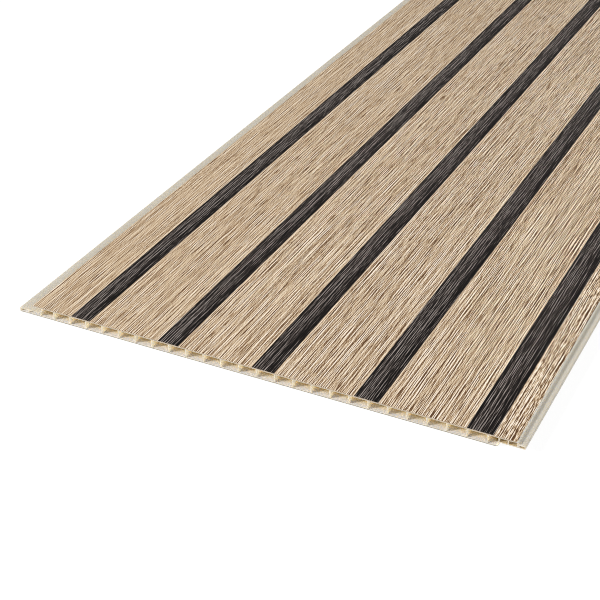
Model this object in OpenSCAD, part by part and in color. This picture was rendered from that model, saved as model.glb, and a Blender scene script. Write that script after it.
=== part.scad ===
// Hollow extruded wall panel with a printed film on its face.
// The section lies in X and Z and runs along Y: groove and nailing flange at -X, tongue and rebate at +X,
// back face down. Places across the panel are measured from the lip's edge, where the covered width starts.

/* [Panel] */
// Length that the panel is sold in
panel_l = 2700; // [600:50:4000]
// Width that one panel covers once the next is fitted
cover_w = 250; // [100:1:400]
// Overall thickness with the film
panel_t = 5.4; // [5:0.1:12]

/* [Walls and cells] */
// Thickness of the face and back skins
skin_t = 0.5; // [0.4:0.05:0.7]
// Thickness of the webs between the cells
web_t = 0.5; // [0.3:0.05:0.8]
// Pitch of the webs that the even spacing comes nearest to
cell_pitch = 9.3; // [6:0.1:16]
// Radius in the corners of the cells
cell_r = 0.25; // [0.1:0.05:0.5]
// From the groove's back wall to the first web
first_cell_w = 8.4; // [5:0.1:12]
// From the last web to the rebate's side
last_cell_w = 5.4; // [4:0.1:9]

/* [Groove side] */
// Reach of the nailing flange beyond the lip
flange_w = 7.8; // [6:0.1:14]
// Thickness of the nailing flange
flange_t = 2.3; // [1.8:0.1:2.6]
// From the flange's edge to the wall inside it
flange_web_d = 5.1; // [3:0.1:7]
// Thickness of the lip without its film
lip_t = 0.65; // [0.5:0.05:0.9]
// Depth of the groove at its floor, from the lip's edge
groove_d = 4; // [3:0.1:6]
// How far the groove's back wall leans over, floor to lip
wall_lean = 1.4; // [0:0.1:2.5]

/* [Tongue side] */
// Radius of the back's corner at the rebate
rebate_r = 2; // [0.5:0.1:2]
// Radius of the face's bare edge above the tongue
ridge_r = 0.5; // [0.2:0.05:0.6]
// Solid plastic between the face's end wall and the tongue's hollow
tongue_root = 0.6; // [0.3:0.1:1.2]

/* [Fit to the next panel] */
// Gap between the face and the next panel's lip
joint_gap = 0.3; // [0.1:0.05:0.6]
// Gap between the tongue's tip and the back wall of the next panel's groove
tip_gap = 0.9; // [0.3:0.05:1.5]
// Gap between the rebate's side and the edge of the next panel's flange
flange_gap = 0.8; // [0.3:0.05:1.5]
// Gap under the rebate, over the next panel's flange
seat_gap = 0.1; // [0.05:0.05:0.3]
// Gap over the tongue, under the next panel's lip
lip_gap = 0.45; // [0.2:0.05:0.8]

/* [Film] */
// Thickness of the printed film
film_t = 0.15; // [0.1:0.05:0.3]
// Outer radius where the film turns down over the lip
nose_r = 0.5; // [0.35:0.05:0.6]
// Flat strip left bare between the film and the face's rounded edge
bare_w = 0.2; // [0.1:0.1:2]

/* [Edges] */
// Radius on the outer edges of the flange and the tongue
edge_r = 0.45; // [0.1:0.05:0.6]
// Radius in the inner corners outside the panel
root_r = 0.35; // [0.1:0.05:0.5]

/* [Hidden] */

// Flat steps in each quarter turn of a radius
arc_steps = 5;
// Largest share of a wall or hollow that one radius may take
radius_share = 0.47;

// Heights above the back face
core_t = panel_t - film_t;
lip_z = core_t - lip_t;
rebate_h = flange_t + seat_gap;
tongue_z = lip_z - lip_gap;
face_step_h = core_t - tongue_z;

// Places across the panel
face_x = cover_w - joint_gap;
tongue_x = cover_w + groove_d - tip_gap;
rebate_x = cover_w - flange_w - flange_gap;
film_x = face_x - ridge_r - bare_w;
middle_x = (tongue_x - flange_w) / 2;

// Webs, spaced evenly between the two edge cells
first_web_x = groove_d + first_cell_w;
web_run = rebate_x - last_cell_w - first_web_x;
cell_count = max(1, round(web_run / cell_pitch));
web_pitch = web_run / cell_count;

function within(r, size) = min(r, radius_share * size);
function unit(v) = v / norm(v);
function turned(v, angle) = [v.x * cos(angle) - v.y * sin(angle), v.x * sin(angle) + v.y * cos(angle)];

// Points of the arc of radius r that rounds the corner p between the points a and b
function corner(a, p, b, r) =
    let (to_a = unit(a - p), to_b = unit(b - p))
    let (half = acos(to_a * to_b) / 2)
    let (centre = p + unit(to_a + to_b) * r / sin(half))
    let (start = p + to_a * r / tan(half) - centre, end = p + to_b * r / tan(half) - centre)
    let (sweep = atan2(start.x * end.y - start.y * end.x, start * end))
    [for (i = [0 : arc_steps]) centre + turned(start, sweep * i / arc_steps)];

// A closed outline from corners written as [x, z, radius]
function rounded(corners) =
    let (n = len(corners), p = [for (c = corners) [c[0], c[1]]])
    [for (i = [0 : n - 1]) each corner(p[(i + n - 1) % n], p[i], p[(i + 1) % n], corners[i][2])];

// An upright hollow with rounded corners
module hollow(x0, x1, z0, z1) {
    r = min(within(cell_r, x1 - x0), within(cell_r, z1 - z0));
    polygon(rounded([[x0, z0, r], [x1, z0, r], [x1, z1, r], [x0, z1, r]]));
}

// Outside of the extrusion, anticlockwise from the flange's lower edge
module outline() {
    flange_r = within(edge_r, flange_t);
    tongue_r = within(edge_r, tongue_z - rebate_h);
    step_r = within(root_r, face_step_h);
    polygon(rounded([
        [-flange_w, 0, flange_r],
        [rebate_x, 0, min(rebate_r, rebate_h - root_r - 0.01)],
        [rebate_x, rebate_h, root_r],
        [tongue_x, rebate_h, tongue_r],
        [tongue_x, tongue_z, tongue_r],
        [face_x, tongue_z, step_r],
        [face_x, core_t, within(ridge_r, face_step_h)],
        [film_t, core_t, nose_r - film_t],
        [film_t, lip_z, within(nose_r - film_t, lip_t) / 2],
        [groove_d + wall_lean, lip_z, root_r],
        [groove_d, flange_t, root_r],
        [-flange_w, flange_t, flange_r]
    ]));
}

// The two low hollows in the nailing flange
module flange_hollows() {
    web_x = flange_web_d - flange_w;
    hollow(skin_t - flange_w, web_x - web_t / 2, skin_t, flange_t - skin_t);
    hollow(web_x + web_t / 2, groove_d, skin_t, flange_t - skin_t);
}

// The first cell, beside the groove's leaning back wall
module first_cell() {
    floor_x = groove_d + web_t;
    web_x = first_web_x - web_t / 2;
    polygon(rounded([
        [floor_x, skin_t, cell_r],
        [web_x, skin_t, cell_r],
        [web_x, core_t - skin_t, cell_r],
        [floor_x + wall_lean, core_t - skin_t, cell_r],
        [floor_x, flange_t, cell_r]
    ]));
}

// The full cells between the webs
module full_cells() {
    for (i = [0 : cell_count - 1]) {
        web_x = first_web_x + i * web_pitch;
        hollow(web_x + web_t / 2, web_x + web_pitch - web_t / 2, skin_t, core_t - skin_t);
    }
}

// The last cell, which follows the rounded corner of the rebate
module last_cell() {
    web_x = rebate_x - last_cell_w + web_t / 2;
    wall_x = rebate_x - web_t;
    polygon(rounded([
        [web_x, skin_t, cell_r],
        [wall_x, skin_t, max(cell_r, min(rebate_r, rebate_h - root_r) - skin_t)],
        [wall_x, core_t - skin_t, cell_r],
        [web_x, core_t - skin_t, cell_r]
    ]));
}

// The two short hollows over the rebate and the slit in the tongue
module tongue_hollows() {
    end_x = face_x - web_t;
    web_x = (rebate_x + end_x) / 2;
    hollow(rebate_x, web_x - web_t / 2, rebate_h + skin_t, core_t - skin_t);
    hollow(web_x + web_t / 2, end_x, rebate_h + skin_t, core_t - skin_t);
    hollow(face_x + tongue_root, tongue_x - skin_t, rebate_h + skin_t, tongue_z - skin_t);
}

// Film over the face, turned down over the lip's rounded edge
module film_section() {
    centre = [nose_r, panel_t - nose_r];
    core_nose_r = nose_r - film_t;
    polygon(concat(
        [[film_x, core_t], [film_x, panel_t]],
        [for (i = [0 : arc_steps]) centre + nose_r * [cos(90 + 90 * i / arc_steps), sin(90 + 90 * i / arc_steps)]],
        [for (i = [arc_steps : -1 : 0])
            centre + core_nose_r * [cos(90 + 90 * i / arc_steps), sin(90 + 90 * i / arc_steps)]]
    ));
}

// Runs a section along the panel's length, with the panel's middle over the origin
module along_panel() {
    rotate([90, 0, 0])
        linear_extrude(height = panel_l, center = true)
            translate([-middle_x, 0]) children();
}

module panel_extrusion() {
    color("cornsilk")
        along_panel()
            difference() {
                outline();
                flange_hollows();
                first_cell();
                full_cells();
                last_cell();
                tongue_hollows();
            }
}

module decor_film() {
    color("tan")
        along_panel() film_section();
}

panel_extrusion();
decor_film();
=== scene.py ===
import math

import bpy
from mathutils import Matrix, Vector


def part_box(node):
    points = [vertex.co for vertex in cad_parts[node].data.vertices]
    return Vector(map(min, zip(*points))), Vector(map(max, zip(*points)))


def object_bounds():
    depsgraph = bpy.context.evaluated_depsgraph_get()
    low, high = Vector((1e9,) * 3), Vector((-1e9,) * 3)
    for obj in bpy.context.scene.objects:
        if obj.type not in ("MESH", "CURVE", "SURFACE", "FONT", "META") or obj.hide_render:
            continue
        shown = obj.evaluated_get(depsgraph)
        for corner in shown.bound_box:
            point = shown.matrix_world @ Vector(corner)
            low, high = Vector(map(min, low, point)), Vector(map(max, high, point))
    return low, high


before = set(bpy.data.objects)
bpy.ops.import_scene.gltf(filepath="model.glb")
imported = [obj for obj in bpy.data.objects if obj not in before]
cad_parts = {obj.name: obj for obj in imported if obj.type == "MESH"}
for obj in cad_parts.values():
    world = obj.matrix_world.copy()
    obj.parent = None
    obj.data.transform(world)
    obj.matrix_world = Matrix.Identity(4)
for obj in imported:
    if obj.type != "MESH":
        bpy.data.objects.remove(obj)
cadLow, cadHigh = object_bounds()
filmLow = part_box("decor_film")[0]
print("frame loaded:", ", ".join(sorted(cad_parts)))

mmPerMetre = 1000.0
noiseMiddle = 0.5


def screenColour(red, green, blue):
    # a colour as seen on screen, 0 to 255, as the linear value that the nodes take
    def linear(level):
        share = level / 255
        return share / 12.92 if share <= 0.04045 else ((share + 0.055) / 1.055) ** 2.4
    return (linear(red), linear(green), linear(blue), 1)


def setInput(tree, socket, value):
    if isinstance(value, bpy.types.NodeSocket):
        tree.links.new(value, socket)
    else:
        socket.default_value = value


def addNode(tree, kind, settings=None, **inputs):
    node = tree.nodes.new(kind)
    for name, value in (settings or {}).items():
        setattr(node, name, value)
    for name, value in inputs.items():
        setInput(tree, node.inputs[name.replace("_", " ")], value)
    return node


def calculate(tree, operation, *values):
    node = tree.nodes.new("ShaderNodeMath")
    node.operation = operation
    for socket, value in zip(node.inputs, values):
        setInput(tree, socket, value)
    return node.outputs[0]


def mapRange(tree, value, fromLow, fromHigh, toLow=0.0, toHigh=1.0):
    node = tree.nodes.new("ShaderNodeMapRange")
    for socket, number in zip(node.inputs, (value, fromLow, fromHigh, toLow, toHigh)):
        setInput(tree, socket, number)
    return node.outputs[0]


def mixColour(tree, share, first, second):
    node = tree.nodes.new("ShaderNodeMix")
    node.data_type = "RGBA"
    setInput(tree, node.inputs[0], share)
    setInput(tree, node.inputs[6], first)
    setInput(tree, node.inputs[7], second)
    return node.outputs[2]


def colourRamp(tree, value, stops):
    node = tree.nodes.new("ShaderNodeValToRGB")
    elements = node.color_ramp.elements
    while len(elements) < len(stops):
        elements.new(0.5)
    for element, (place, colour) in zip(elements, stops):
        element.position = place
        element.color = colour
    setInput(tree, node.inputs["Fac"], value)
    return node.outputs["Color"]


def toneRamp(tree, value, tones):
    return colourRamp(tree, value, [(stop, screenColour(*tone)) for stop, tone in tones])


def newGroup(name, inputs, outputs):
    tree = bpy.data.node_groups.new(name, "ShaderNodeTree")
    for socketName, kind, default in inputs:
        socket = tree.interface.new_socket(name=socketName, in_out="INPUT", socket_type=kind)
        if default is not None:
            socket.default_value = default
    for socketName, kind in outputs:
        tree.interface.new_socket(name=socketName, in_out="OUTPUT", socket_type=kind)
    return tree, tree.nodes.new("NodeGroupInput"), tree.nodes.new("NodeGroupOutput")


def placeGroup(tree, group, **inputs):
    node = tree.nodes.new("ShaderNodeGroup")
    node.node_tree = group
    for name, value in inputs.items():
        setInput(tree, node.inputs[name], value)
    return node


def placeInMillimetres(tree):
    coordinates = tree.nodes.new("ShaderNodeTexCoord")
    scaled = addNode(tree, "ShaderNodeVectorMath", {"operation": "SCALE"}, Scale=mmPerMetre)
    tree.links.new(coordinates.outputs["Object"], scaled.inputs[0])
    return scaled.outputs[0]


streakShape = {
    "bendAcrossMm": 24.0,
    "bendAlongMm": 110.0,
    "seedStep": 7.3,            # moves the noise far enough that two seeds look unlike
    "roughness": 0.6,
    "fibreStep": 1.1,           # in widths
}


def makeStreakGroup():
    # long streaks along Y: 0 to 1, with sideways wander, all sizes in mm
    tree, entry, leave = newGroup("longStreaks", [
        ("Place", "NodeSocketVector", None),
        ("Width", "NodeSocketFloat", 1.0),
        ("Length", "NodeSocketFloat", 20.0),
        ("Detail", "NodeSocketFloat", 2.0),
        ("Wander", "NodeSocketFloat", 0.0),
        ("Seed", "NodeSocketFloat", 0.0),
    ], [("Streak", "NodeSocketFloat")])
    axes = addNode(tree, "ShaderNodeSeparateXYZ", Vector=entry.outputs["Place"])
    bendPlace = addNode(tree, "ShaderNodeCombineXYZ",
                        X=calculate(tree, "DIVIDE", axes.outputs["X"], streakShape["bendAcrossMm"]),
                        Y=calculate(tree, "DIVIDE", axes.outputs["Y"], streakShape["bendAlongMm"]),
                        Z=entry.outputs["Seed"])
    bend = addNode(tree, "ShaderNodeTexNoise", Vector=bendPlace.outputs[0], Scale=1.0, Detail=1.0)
    offset = calculate(tree, "MULTIPLY", calculate(tree, "SUBTRACT", bend.outputs["Fac"], noiseMiddle),
                       entry.outputs["Wander"])
    across = calculate(tree, "DIVIDE", calculate(tree, "ADD", axes.outputs["X"], offset),
                       entry.outputs["Width"])
    along = calculate(tree, "DIVIDE", axes.outputs["Y"], entry.outputs["Length"])
    seedPlace = calculate(tree, "MULTIPLY", entry.outputs["Seed"], streakShape["seedStep"])
    streakPlace = addNode(tree, "ShaderNodeCombineXYZ", X=across, Y=along, Z=seedPlace)
    noise = addNode(tree, "ShaderNodeTexNoise", Vector=streakPlace.outputs[0], Scale=1.0,
                    Detail=entry.outputs["Detail"], Roughness=streakShape["roughness"])
    tree.links.new(noise.outputs["Fac"], leave.inputs["Streak"])
    return tree


streakGroup = makeStreakGroup()


def streaks(tree, place, layer, wander=0.0):
    return placeGroup(tree, streakGroup, Place=place, Width=layer["width"], Length=layer["length"],
                      Detail=layer["detail"], Wander=wander, Seed=layer["seed"]).outputs[0]


def makeFibreGroup():
    # streaks less the same streaks a step over, which leaves thin even lines without wide patches
    tree, entry, leave = newGroup("fineFibres", [
        ("Place", "NodeSocketVector", None),
        ("Width", "NodeSocketFloat", 1.0),
        ("Length", "NodeSocketFloat", 20.0),
        ("Wander", "NodeSocketFloat", 0.0),
        ("Seed", "NodeSocketFloat", 0.0),
    ], [("Fibre", "NodeSocketFloat")])
    stepOver = calculate(tree, "MULTIPLY", entry.outputs["Width"], streakShape["fibreStep"])
    step = addNode(tree, "ShaderNodeCombineXYZ", X=stepOver)
    beside = addNode(tree, "ShaderNodeVectorMath", {"operation": "ADD"})
    tree.links.new(entry.outputs["Place"], beside.inputs[0])
    tree.links.new(step.outputs[0], beside.inputs[1])
    levels = []
    for place in (entry.outputs["Place"], beside.outputs[0]):
        levels.append(placeGroup(tree, streakGroup, Place=place, Width=entry.outputs["Width"],
                                 Length=entry.outputs["Length"], Detail=1.0,
                                 Wander=entry.outputs["Wander"], Seed=entry.outputs["Seed"]).outputs[0])
    tree.links.new(calculate(tree, "SUBTRACT", *levels), leave.inputs["Fibre"])
    return tree


fibreGroup = makeFibreGroup()


def addFibres(tree, tone, place, layers, wander, seed):
    for layer in layers:
        fibre = placeGroup(tree, fibreGroup, Place=place, Width=layer["width"], Length=layer["length"],
                           Wander=wander, Seed=seed).outputs[0]
        tone = calculate(tree, "ADD", tone, calculate(tree, "MULTIPLY", fibre, layer["strength"]))
    return tone


def centred(tree, value):
    return calculate(tree, "SUBTRACT", value, noiseMiddle)


def newMaterial(name):
    material = bpy.data.materials.new(name)
    material.use_nodes = True
    tree = material.node_tree
    tree.nodes.clear()
    output = tree.nodes.new("ShaderNodeOutputMaterial")
    shader = tree.nodes.new("ShaderNodeBsdfPrincipled")
    tree.links.new(shader.outputs[0], output.inputs["Surface"])
    return material, tree, shader


def endFaceMask(tree):
    # 1 on the sawn ends, which face along the panel
    none, full = 0.6, 0.9
    coordinates = tree.nodes.new("ShaderNodeTexCoord")
    axes = addNode(tree, "ShaderNodeSeparateXYZ", Vector=coordinates.outputs["Normal"])
    return mapRange(tree, calculate(tree, "ABSOLUTE", axes.outputs["Y"]), none, full)


# widths and lengths of streaks and fibres in mm
film = {
    "stripesMm": [              # middle, from the lip's edge, then width
        (28.2, 10.8),
        (77.3, 11.1),
        (127.6, 11.5),
        (179.2, 11.9),
        (232.5, 12.3),
    ],
    "edgeWobble": {"width": 9.0, "length": 16.0, "detail": 3.0, "seed": 4.0, "reachMm": 0.2},
    "edgeBlurMm": 0.12,         # each side of a stripe's edge
    "farFromStripesMm": 1000.0,
    "edgeLight": {"widthMm": 0.9, "share": 0.6, "tone": (240, 217, 188)},   # pale line beside a stripe
    "woodTones": [
        (0.0, (86, 58, 36)),
        (0.2, (126, 96, 67)),
        (0.4, (179, 150, 118)),
        (0.52, (204, 181, 151)),
        (0.66, (221, 200, 170)),
        (0.82, (240, 221, 196)),
        (1.0, (252, 240, 224)),
    ],
    "grain": [
        {"width": 0.34, "length": 2.4, "strength": 1.0},
        {"width": 0.42, "length": 22.0, "strength": 1.9},
        {"width": 0.5, "length": 80.0, "strength": 1.6},
    ],
    "slatSeedStep": 3.7,
    "wanderMm": 1.2,
    "bands": {"width": 1.7, "length": 120.0, "detail": 1.0, "seed": 29.0, "share": 0.5},
    "pores": {"width": 0.4, "length": 12.0, "detail": 0.0, "seed": 31.0, "share": 0.4},
    "poreLevels": (0.6, 0.72),
    "middleTone": 0.5,
    "firstSlatShare": 0.64,     # the first slat's grain is calmer than the fourth's
    "fullGrainSlat": 3.0,
    "lastSlat": {
        "above": 4.5,
        "wanderTimes": 2.5,
        "coarse": {"width": 0.6, "length": 4.0, "detail": 0.0, "seed": 37.0, "share": 1.4},
    },
    "ripple": {"width": 3.5, "length": 0.7, "detail": 1.0, "seed": 33.0, "share": 0.48},
    "ripplePatch": {"width": 16.0, "length": 60.0, "detail": 1.0, "seed": 35.0},
    "patchLevels": (0.5, 0.62),
    "stripeTones": [
        (0.0, (8, 6, 5)),
        (0.3, (24, 19, 17)),
        (0.5, (56, 49, 46)),
        (0.7, (96, 87, 82)),
        (1.0, (158, 148, 142)),
    ],
    "stripeProfile": [          # across a stripe, left to right
        (0.0, 0.08),
        (0.1, 0.32),
        (0.25, 0.44),
        (0.55, 0.44),
        (0.72, 0.24),
        (0.9, 0.06),
    ],
    "stripeGrain": [
        {"width": 0.34, "length": 6.0, "strength": 1.2},
        {"width": 0.42, "length": 28.0, "strength": 2.5},
    ],
    "stripeSeed": 11.0,
    "stripeWanderMm": 0.3,
    "stripeBands": {"width": 0.9, "length": 90.0, "detail": 1.0, "seed": 12.0, "share": 0.7},
    # painted shade where the film turns down over the lip's edge
    "turnedDownShade": {"noneMm": 0.45, "fullMm": 0.1, "share": 0.7, "tone": (104, 78, 56)},
    "core": (144, 128, 108),
    "roughness": 0.5,
    "specular": 0.15,
    "bumpStrength": 0.6,
    "reliefMm": 0.04,
}


def markStripes(tree, fromLip, place):
    # mm outside the nearest stripe's edge, and stripes passed so far, with the share of the one crossed
    wobble = film["edgeWobble"]
    shift = calculate(tree, "MULTIPLY", centred(tree, streaks(tree, place, wobble)), wobble["reachMm"])
    wobbled = calculate(tree, "ADD", fromLip, shift)
    offEdge = film["farFromStripesMm"]
    passed = 0.0
    for middle, width in film["stripesMm"]:
        offMiddle = calculate(tree, "ABSOLUTE", calculate(tree, "SUBTRACT", wobbled, middle))
        offEdge = calculate(tree, "MINIMUM", offEdge, calculate(tree, "SUBTRACT", offMiddle, width / 2))
        crossed = mapRange(tree, wobbled, middle - width / 2, middle + width / 2)
        passed = calculate(tree, "ADD", passed, crossed)
    return offEdge, passed


def makeWoodTone(tree, place, slatNumber):
    seed = calculate(tree, "MULTIPLY", slatNumber, film["slatSeedStep"])
    last = film["lastSlat"]
    lastSlat = calculate(tree, "GREATER_THAN", slatNumber, last["above"])
    wander = mapRange(tree, lastSlat, 0.0, 1.0, film["wanderMm"], film["wanderMm"] * last["wanderTimes"])
    tone = addFibres(tree, 0.0, place, film["grain"], wander, seed)
    bands = centred(tree, streaks(tree, place, film["bands"], wander))
    tone = calculate(tree, "ADD", tone, calculate(tree, "MULTIPLY", bands, film["bands"]["share"]))
    pores = mapRange(tree, streaks(tree, place, film["pores"], wander), *film["poreLevels"])
    tone = calculate(tree, "SUBTRACT", tone, calculate(tree, "MULTIPLY", pores, film["pores"]["share"]))
    calm = mapRange(tree, slatNumber, 0.0, film["fullGrainSlat"], film["firstSlatShare"], 1.0)
    tone = calculate(tree, "MULTIPLY_ADD", tone, calm, film["middleTone"])
    coarse = centred(tree, streaks(tree, place, last["coarse"], wander))
    coarse = calculate(tree, "MULTIPLY", coarse, lastSlat)
    tone = calculate(tree, "ADD", tone, calculate(tree, "MULTIPLY", coarse, last["coarse"]["share"]))
    patch = mapRange(tree, streaks(tree, place, film["ripplePatch"]), *film["patchLevels"])
    ripple = calculate(tree, "MULTIPLY", centred(tree, streaks(tree, place, film["ripple"])), patch)
    return calculate(tree, "ADD", tone, calculate(tree, "MULTIPLY", ripple, film["ripple"]["share"]))


def makeStripeColour(tree, place, passed):
    # dark grain, deeper along the right side
    profile = [(stop, (level, level, level, 1)) for stop, level in film["stripeProfile"]]
    tone = colourRamp(tree, calculate(tree, "FRACT", passed), profile)
    wander = film["stripeWanderMm"]
    tone = addFibres(tree, tone, place, film["stripeGrain"], wander, film["stripeSeed"])
    bands = centred(tree, streaks(tree, place, film["stripeBands"], wander))
    tone = calculate(tree, "ADD", tone, calculate(tree, "MULTIPLY", bands, film["stripeBands"]["share"]))
    return toneRamp(tree, tone, film["stripeTones"])


def makeFilmMaterial():
    material, tree, shader = newMaterial("printedFilm")
    place = placeInMillimetres(tree)
    axes = addNode(tree, "ShaderNodeSeparateXYZ", Vector=place)
    fromLip = calculate(tree, "SUBTRACT", axes.outputs["X"], filmLow.x * mmPerMetre)
    offEdge, passed = markStripes(tree, fromLip, place)

    woodTone = makeWoodTone(tree, place, calculate(tree, "FLOOR", passed))
    wood = toneRamp(tree, woodTone, film["woodTones"])
    light = film["edgeLight"]
    offLight = calculate(tree, "ABSOLUTE", calculate(tree, "SUBTRACT", offEdge, light["widthMm"] / 2))
    lightShare = calculate(tree, "MULTIPLY", mapRange(tree, offLight, light["widthMm"] / 2, 0.0),
                           light["share"])
    wood = mixColour(tree, lightShare, wood, screenColour(*light["tone"]))

    stripeMask = mapRange(tree, offEdge, film["edgeBlurMm"], -film["edgeBlurMm"])
    face = mixColour(tree, stripeMask, wood, makeStripeColour(tree, place, passed))
    # painted shade: the film is darker where it turns down over the lip's edge
    downShade = film["turnedDownShade"]
    downShadeShare = calculate(tree, "MULTIPLY", mapRange(tree, fromLip, downShade["noneMm"], downShade["fullMm"]),
                          downShade["share"])
    face = mixColour(tree, downShadeShare, face, screenColour(*downShade["tone"]))
    colour = mixColour(tree, endFaceMask(tree), face, screenColour(*film["core"]))
    tree.links.new(colour, shader.inputs["Base Color"])
    shader.inputs["Roughness"].default_value = film["roughness"]
    shader.inputs["Specular IOR Level"].default_value = film["specular"]
    bump = addNode(tree, "ShaderNodeBump", Strength=film["bumpStrength"],
                   Distance=film["reliefMm"] / mmPerMetre, Height=woodTone)
    tree.links.new(bump.outputs[0], shader.inputs["Normal"])
    return material


# places across are from the lip's edge, places up are from the back, both in mm
extrusion = {
    "plastic": (212, 204, 189),
    "dieLine": (203, 194, 177),
    "dieLines": {"width": 0.6, "length": 400.0, "detail": 2.0, "seed": 21.0, "share": 0.6},
    "clouds": {"width": 14.0, "length": 60.0, "detail": 3.0, "seed": 22.0, "share": 0.4},
    "plasticLevels": (0.35, 0.65),
    "edgeLightBands": [              # painted light on the tongued edge, a paler band over the tongue's shaded root and a painted highlight on the ridge: middle, reach each side
        # painted light lifting the shade at the tongue's root
        {"middle": 250.4, "reach": 1.6, "blur": 0.4, "tone": (218, 210, 195)},
        # painted highlight on the ridge
        {"middle": 249.3, "reach": 0.5, "blur": 0.4, "tone": (250, 241, 224)},
    ],
    "sawnTonesWithShade": [              # up the section, as a share of its height: the sawn plastic, darker at the bottom as painted contact shadow, and darker towards the top
        (0.04, (124, 119, 108)),
        (0.14, (171, 163, 148)),
        (0.84, (171, 163, 148)),
        (0.93, (150, 138, 123)),
    ],
    # insides of the hollows, painted with light and shade: bounce light on the walls, shade deeper in and in
    # the small hollows
    "cellFloor": (213, 208, 202),
    "cellSideBounceLight": (231, 221, 202),
    "cellDeepShade": (226, 200, 144),
    "smallHollowShade": (184, 166, 132),
    "cellShadeDepthMm": (1.5, 6.0),
    "cellFloorMm": ((-7.5, 241.1), (0.3, 0.62)),
    "hollowsMm": [              # across, then up
        ((-7.5, 3.8), (0.3, 2.0)),
        ((4.2, 241.1), (0.3, 5.0)),
    ],
    "smallHollowsMm": [
        ((241.1, 249.4), (2.65, 5.0)),
        ((249.9, 252.8), (2.65, 3.9)),
    ],
    "sawMarks": {"scale": 2.2, "detail": 3.0},
    "dieLineHeight": 0.5,
    "bumpStrength": 0.4,
    "bumpM": 0.00004,
    "roughness": 0.42,
    "sawnRoughness": 0.7,
    "subsurface": 0.5,
    "subsurfaceRadius": (1.0, 0.88, 0.65),
    "subsurfaceScaleM": 0.0015,
}


def boxMask(tree, pairs):
    mask = 1.0
    for value, (low, high) in pairs:
        for operation, limit in (("GREATER_THAN", low), ("LESS_THAN", high)):
            mask = calculate(tree, "MULTIPLY", mask, calculate(tree, operation, value, limit))
    return mask


def makeOutsideColourWithEdgeLight(tree, lines, cloudy, fromLip):
    share = calculate(tree, "ADD", calculate(tree, "MULTIPLY", lines, extrusion["dieLines"]["share"]),
                      calculate(tree, "MULTIPLY", cloudy, extrusion["clouds"]["share"]))
    plastic = mixColour(tree, mapRange(tree, share, *extrusion["plasticLevels"]),
                        screenColour(*extrusion["dieLine"]), screenColour(*extrusion["plastic"]))
    # painted light: paler bands on the tongued edge, for light on the tongue's shaded root and a highlight
    # on the ridge
    for lightBand in extrusion["edgeLightBands"]:
        offMiddle = calculate(tree, "ABSOLUTE", calculate(tree, "SUBTRACT", fromLip, lightBand["middle"]))
        lightBandMask = mapRange(tree, offMiddle, lightBand["reach"], lightBand["reach"] - lightBand["blur"])
        plastic = mixColour(tree, lightBandMask, plastic, screenColour(*lightBand["tone"]))
    return plastic


def addHollowLightAndShade(tree, plastic, fromLip, axes):
    # insides of the hollows, painted with light and shade: pale walls near the sawn ends as painted bounce
    # light, warmer and darker away from the sawn ends as painted shade, and darker small hollows as painted
    # shade
    def inBox(across, up):
        return boxMask(tree, [(fromLip, across), (axes.outputs["Z"], up)])

    hollowPaintMask = 0.0
    for across, up in extrusion["hollowsMm"] + extrusion["smallHollowsMm"]:
        hollowPaintMask = calculate(tree, "MAXIMUM", hollowPaintMask, inBox(across, up))
    fromMiddle = calculate(tree, "ABSOLUTE", axes.outputs["Y"])
    depth = calculate(tree, "SUBTRACT", cadHigh.y * mmPerMetre, fromMiddle)
    hollowLightAndShade = mixColour(tree, inBox(*extrusion["cellFloorMm"]), screenColour(*extrusion["cellSideBounceLight"]),
                     screenColour(*extrusion["cellFloor"]))
    hollowLightAndShade = mixColour(tree, mapRange(tree, depth, *extrusion["cellShadeDepthMm"]), hollowLightAndShade,
                     screenColour(*extrusion["cellDeepShade"]))
    # painted shade in the small hollows
    for across, up in extrusion["smallHollowsMm"]:
        hollowLightAndShade = mixColour(tree, inBox(across, up), hollowLightAndShade, screenColour(*extrusion["smallHollowShade"]))
    return mixColour(tree, hollowPaintMask, plastic, hollowLightAndShade)


def makePlasticMaterial():
    material, tree, shader = newMaterial("extrudedPlastic")
    place = placeInMillimetres(tree)
    lines = streaks(tree, place, extrusion["dieLines"])
    cloudy = streaks(tree, place, extrusion["clouds"])
    axes = addNode(tree, "ShaderNodeSeparateXYZ", Vector=place)
    fromLip = calculate(tree, "SUBTRACT", axes.outputs["X"], filmLow.x * mmPerMetre)
    plastic = makeOutsideColourWithEdgeLight(tree, lines, cloudy, fromLip)
    plastic = addHollowLightAndShade(tree, plastic, fromLip, axes)

    sawn = endFaceMask(tree)
    upSection = calculate(tree, "DIVIDE", axes.outputs["Z"], cadHigh.z * mmPerMetre)
    # the sawn ends' colour holds painted contact shadow along the bottom
    colour = mixColour(tree, sawn, plastic, toneRamp(tree, upSection, extrusion["sawnTonesWithShade"]))
    tree.links.new(colour, shader.inputs["Base Color"])
    sawMarks = addNode(tree, "ShaderNodeTexNoise", Vector=place, Scale=extrusion["sawMarks"]["scale"],
                       Detail=extrusion["sawMarks"]["detail"])
    height = calculate(tree, "ADD", calculate(tree, "MULTIPLY", lines, extrusion["dieLineHeight"]),
                       calculate(tree, "MULTIPLY", sawMarks.outputs["Fac"], sawn))
    bump = addNode(tree, "ShaderNodeBump", Strength=extrusion["bumpStrength"],
                   Distance=extrusion["bumpM"], Height=height)
    tree.links.new(bump.outputs[0], shader.inputs["Normal"])
    roughness = mapRange(tree, sawn, 0.0, 1.0, extrusion["roughness"], extrusion["sawnRoughness"])
    tree.links.new(roughness, shader.inputs["Roughness"])
    shader.inputs["Subsurface Weight"].default_value = extrusion["subsurface"]
    shader.inputs["Subsurface Radius"].default_value = extrusion["subsurfaceRadius"]
    shader.inputs["Subsurface Scale"].default_value = extrusion["subsurfaceScaleM"]
    return material


def dress(nodeName, material):
    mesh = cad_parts[nodeName].data
    mesh.materials.clear()
    mesh.materials.append(material)


dress("decor_film", makeFilmMaterial())
dress("panel_extrusion", makePlasticMaterial())
print("materials made")


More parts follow.
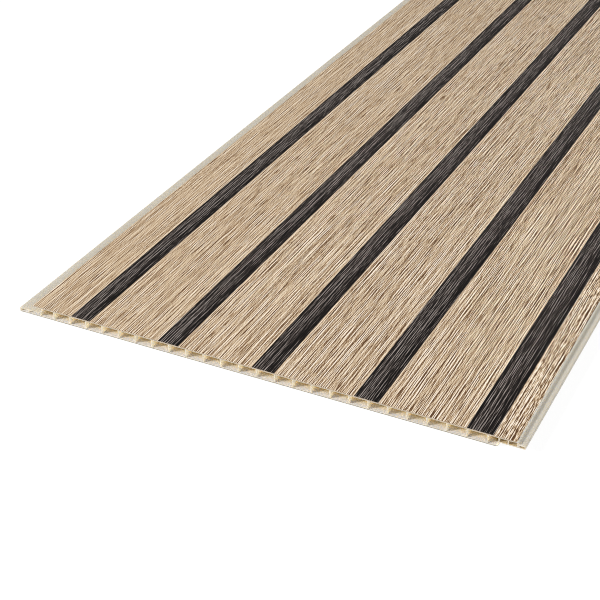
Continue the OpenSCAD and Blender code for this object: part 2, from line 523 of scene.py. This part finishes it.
def makeCamera():
    # at the photograph's viewing angle, with the front cut at the panel's low-Y end
    spot = {
        "place": Vector((0.2518, -1.8102, 0.3660)),
        "aim": Vector((-0.01055, -1.28005, 0.0)),
        "rollDegrees": -0.16,
        "lens": 83.3,
        "sensorWidth": 36.0,
        "seesTo": 60.0,
    }
    data = bpy.data.cameras.new("camera")
    data.lens = spot["lens"]
    data.sensor_fit = "HORIZONTAL"
    data.sensor_width = spot["sensorWidth"]
    data.clip_end = spot["seesTo"]
    camera = bpy.data.objects.new("camera", data)
    turn = (spot["aim"] - spot["place"]).to_track_quat("-Z", "Y").to_matrix().to_4x4()
    camera.matrix_world = (Matrix.Translation(spot["place"]) @ turn
                           @ Matrix.Rotation(math.radians(spot["rollDegrees"]), 4, "Z"))
    bpy.context.scene.collection.objects.link(camera)
    bpy.context.scene.camera = camera


def makeFloor():
    # white where it is seen, while its paint sets how much light it throws back on the panel
    floor = {"halfSize": 40.0, "below": 0.0001, "paint": 0.86, "seenPaint": 0.17, "seenGlow": 0.89}
    half = floor["halfSize"]
    mesh = bpy.data.meshes.new("floor")
    mesh.from_pydata([(-half, -half, 0), (half, -half, 0), (half, half, 0), (-half, half, 0)],
                     [], [(0, 1, 2, 3)])
    slab = bpy.data.objects.new("floor", mesh)
    slab.location.z = cadLow.z - floor["below"]
    bpy.context.scene.collection.objects.link(slab)
    material = bpy.data.materials.new("floorPaint")
    material.use_nodes = True
    tree = material.node_tree
    tree.nodes.clear()
    output = tree.nodes.new("ShaderNodeOutputMaterial")
    paint = addNode(tree, "ShaderNodeBsdfDiffuse", Color=(floor["paint"],) * 3 + (1,))
    seenPaint = addNode(tree, "ShaderNodeBsdfDiffuse", Color=(floor["seenPaint"],) * 3 + (1,))
    glow = addNode(tree, "ShaderNodeEmission", Color=(1, 1, 1, 1), Strength=floor["seenGlow"])
    both = tree.nodes.new("ShaderNodeAddShader")
    tree.links.new(seenPaint.outputs[0], both.inputs[0])
    tree.links.new(glow.outputs[0], both.inputs[1])
    path = tree.nodes.new("ShaderNodeLightPath")
    seen = calculate(tree, "MAXIMUM", path.outputs["Is Camera Ray"], path.outputs["Is Glossy Ray"])
    seen = calculate(tree, "MAXIMUM", seen, path.outputs["Is Transmission Ray"])
    mix = addNode(tree, "ShaderNodeMixShader", Fac=seen)
    tree.links.new(paint.outputs[0], mix.inputs[1])
    tree.links.new(both.outputs[0], mix.inputs[2])
    tree.links.new(mix.outputs[0], output.inputs["Surface"])
    mesh.materials.append(material)


def makeWorld():
    sky = {"fill": 0.22, "seen": 1.0}
    world = bpy.data.worlds.new("studio")
    world.use_nodes = True
    bpy.context.scene.world = world
    tree = world.node_tree
    tree.nodes.clear()
    output = tree.nodes.new("ShaderNodeOutputWorld")
    path = tree.nodes.new("ShaderNodeLightPath")
    seen = calculate(tree, "MAXIMUM", path.outputs["Is Camera Ray"], path.outputs["Is Transmission Ray"])
    background = addNode(tree, "ShaderNodeBackground", Color=(1, 1, 1, 1),
                         Strength=mapRange(tree, seen, 0.0, 1.0, sky["fill"], sky["seen"]))
    tree.links.new(background.outputs[0], output.inputs["Surface"])


def makeLamps():
    lamps = [
        {"name": "keySoftbox", "place": (-3.45, -4.38, 2.0), "aim": (0, -1.0, 0), "size": 1.0, "power": 355},
        {"name": "frontSoftbox", "place": (2.4, -4.7, 1.6), "aim": (0, -1.0, 0), "size": 2.0, "power": 110},
        {"name": "overheadSoftbox", "place": (0.8, 0.6, 4.0), "aim": (0, -0.8, 0), "size": 3.0, "power": 32},
    ]
    for lamp in lamps:
        data = bpy.data.lights.new(lamp["name"], "AREA")
        data.shape = "SQUARE"
        data.size = lamp["size"]
        data.energy = lamp["power"]
        light = bpy.data.objects.new(lamp["name"], data)
        place = Vector(lamp["place"])
        light.location = place
        light.rotation_euler = (Vector(lamp["aim"]) - place).to_track_quat("-Z", "Y").to_euler()
        bpy.context.scene.collection.objects.link(light)


makeCamera()
makeFloor()
makeWorld()
makeLamps()
bpy.context.scene.view_settings.view_transform = "Standard"
filterWidth = 1.0               # sharper than the usual 1.5, as the photograph is
bpy.context.scene.cycles.filter_width = filterWidth
print("studio ready")
